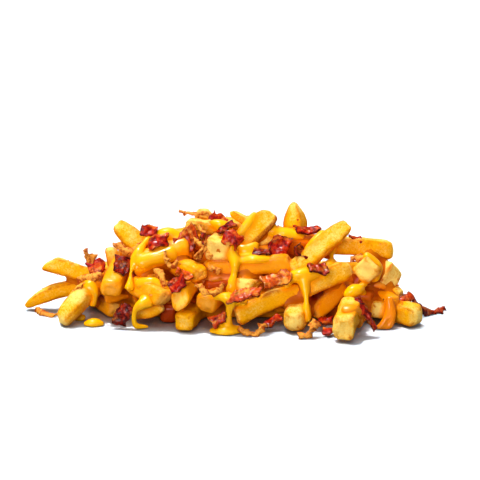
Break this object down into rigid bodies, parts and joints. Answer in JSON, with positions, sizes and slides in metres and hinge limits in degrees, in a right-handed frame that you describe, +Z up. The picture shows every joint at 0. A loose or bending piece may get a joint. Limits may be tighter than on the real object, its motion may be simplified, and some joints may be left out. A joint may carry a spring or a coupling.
{
  "type": "loaded french fries",
  "caption": "Loose heap of thick-cut fries covered with melted cheese sauce, crisp bacon bits and fried onion shreds.",
  "frame": {"origin": "middle of the bounding box in plan, on the surface that the heap lies on", "axes": "+X along the heap's length to the viewer's right, +Y away from the viewer, +Z up"},
  "size_m": [0.2208, 0.11, 0.0572],
  "materials": {
    "fries": "fried potato, satin where the sauce has wetted it",
    "sauce": "glossy melted cheese",
    "bacon": "crisp and greasy",
    "onion": "dry and crisp"
  },
  "bodies": {
    "root": {"fries_heap": "fries", "bacon_01": "bacon", "bacon_02": "bacon", "bacon_03": "bacon", "bacon_04": "bacon", "bacon_05": "bacon", "bacon_06": "bacon", "bacon_07": "bacon", "bacon_08": "bacon", "bacon_09": "bacon", "bacon_10": "bacon", "bacon_11": "bacon", "bacon_12": "bacon", "bacon_13": "bacon", "bacon_14": "bacon", "bacon_15": "bacon", "bacon_16": "bacon", "bacon_17": "bacon", "bacon_18": "bacon", "bacon_19": "bacon", "bacon_20": "bacon", "bacon_21": "bacon", "bacon_22": "bacon", "bacon_23": "bacon", "bacon_24": "bacon", "bacon_25": "bacon", "bacon_26": "bacon", "bacon_27": "bacon", "bacon_28": "bacon", "bacon_29": "bacon", "bacon_30": "bacon", "onion_left": "onion", "onion_front": "onion", "onion_right": "onion", "bacon_tail": "bacon", "sauce_drop": "sauce", "crumb_drop": "sauce"}
  },
  "joints": []
}
